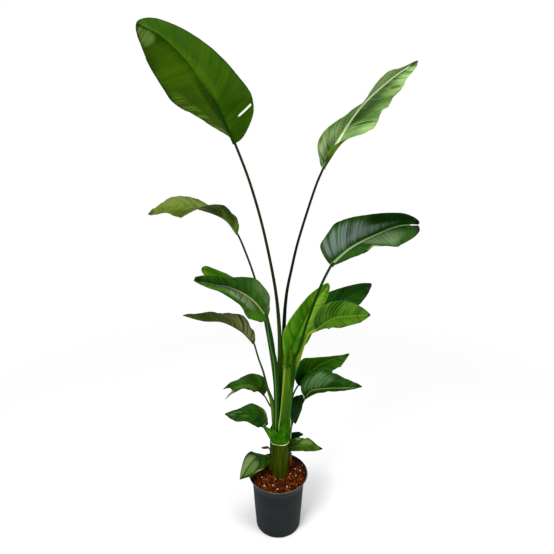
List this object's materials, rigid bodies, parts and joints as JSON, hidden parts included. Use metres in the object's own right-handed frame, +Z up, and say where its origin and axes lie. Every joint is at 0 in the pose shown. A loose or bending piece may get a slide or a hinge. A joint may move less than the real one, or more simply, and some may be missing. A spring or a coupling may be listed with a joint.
{
  "type": "potted bird of paradise plant",
  "caption": "Tall potted plant with broad paddle leaves on long upright stalks that fan out from a sheathed stem, in a tapered round nursery pot with soil.",
  "frame": {"origin": "centre of the pot's flat underside", "axes": "+Z up, -Y towards the plant's display side, and the leaves stand in a fan along X"},
  "size_m": [0.9262, 0.3801, 1.882],
  "materials": {
    "pot_plastic": "matt blown polypropylene, dark blue-grey",
    "potting_mix": "loose reddish-brown coir and bark with perlite",
    "stem_skin": "smooth olive-brown old leaf bases",
    "leaf_green": "leathery semi-gloss leaf with fine side veins",
    "leaf_dark": "older dark green leaf with a waxy grey sheen",
    "leaf_young": "young yellow-green leaf"
  },
  "bodies": {
    "root": {"pot": "pot_plastic", "main_stem": "stem_skin", "left_shoot_stem": "stem_skin", "right_shoot_stem": "stem_skin", "soil": "potting_mix", "leaf_09_young": "leaf_young", "leaf_17_front_right": "leaf_green", "leaf_05_middle_left": "leaf_dark", "leaf_03_right": "leaf_dark", "leaf_01_tall_left": "leaf_green", "leaf_02_tall_right": "leaf_green", "leaf_07_left": "leaf_green", "leaf_04_upper_left": "leaf_green", "leaf_16_behind_right": "leaf_dark", "leaf_06_behind_left": "leaf_green", "leaf_10_collar": "leaf_green", "leaf_14_low_right": "leaf_dark", "leaf_15_right": "leaf_dark", "leaf_13_hanging": "leaf_dark", "leaf_18_low_right": "leaf_green", "leaf_19_small": "leaf_dark", "leaf_08_low_left": "leaf_green", "leaf_11_over_rim": "leaf_green", "leaf_12_withered": "leaf_dark"}
  },
  "joints": []
}
